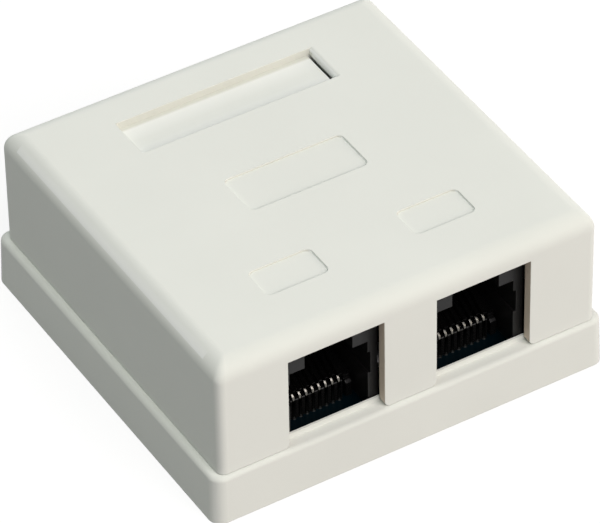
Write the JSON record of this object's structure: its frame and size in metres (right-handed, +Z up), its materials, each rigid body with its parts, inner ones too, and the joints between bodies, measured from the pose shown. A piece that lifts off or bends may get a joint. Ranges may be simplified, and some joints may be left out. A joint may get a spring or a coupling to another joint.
{
  "type": "surface mount jack box",
  "caption": "Square white box with a clip-on cover over a board that carries side-facing modular jacks, for fixing to a wall or desk.",
  "frame": {"origin": "middle of the base's underside", "axes": "+Z up from the mounting surface, -Y out of the jack openings, +X to the right as seen by someone plugging in"},
  "size_m": [0.0622, 0.0604, 0.0266],
  "materials": {
    "white_plastic": "satin moulded white",
    "board": "dark blue solder mask",
    "jack_black": "moulded black",
    "comb_black": "moulded black",
    "contact_metal": "plated spring bronze",
    "idc_plastic": "moulded natural white",
    "terminal_tin": "tinned bronze",
    "screw_steel": "zinc plated"
  },
  "bodies": {
    "box": {"base": "white_plastic", "circuit_board": "board", "board_screws": "screw_steel", "jack_housing_left": "jack_black", "contact_comb_left": "comb_black", "contact_left_1": "contact_metal", "contact_left_2": "contact_metal", "contact_left_3": "contact_metal", "contact_left_4": "contact_metal", "contact_left_5": "contact_metal", "contact_left_6": "contact_metal", "contact_left_7": "contact_metal", "contact_left_8": "contact_metal", "idc_block_left_front": "idc_plastic", "idc_block_left_rear": "idc_plastic", "idc_terminal_left_1": "terminal_tin", "idc_terminal_left_2": "terminal_tin", "idc_terminal_left_3": "terminal_tin", "idc_terminal_left_4": "terminal_tin", "idc_terminal_left_5": "terminal_tin", "idc_terminal_left_6": "terminal_tin", "idc_terminal_left_7": "terminal_tin", "idc_terminal_left_8": "terminal_tin", "jack_housing_right": "jack_black", "contact_comb_right": "comb_black", "contact_right_1": "contact_metal", "contact_right_2": "contact_metal", "contact_right_3": "contact_metal", "contact_right_4": "contact_metal", "contact_right_5": "contact_metal", "contact_right_6": "contact_metal", "contact_right_7": "contact_metal", "contact_right_8": "contact_metal", "idc_block_right_front": "idc_plastic", "idc_block_right_rear": "idc_plastic", "idc_terminal_right_1": "terminal_tin", "idc_terminal_right_2": "terminal_tin", "idc_terminal_right_3": "terminal_tin", "idc_terminal_right_4": "terminal_tin", "idc_terminal_right_5": "terminal_tin", "idc_terminal_right_6": "terminal_tin", "idc_terminal_right_7": "terminal_tin", "idc_terminal_right_8": "terminal_tin"},
    "cover": {"cover": "white_plastic"}
  },
  "joints": [
    {"name": "cover_lift", "type": "slide", "parent": "box", "child": "cover", "axis": [0, 0, 1], "range_m": [0, 0.03]}
  ]
}
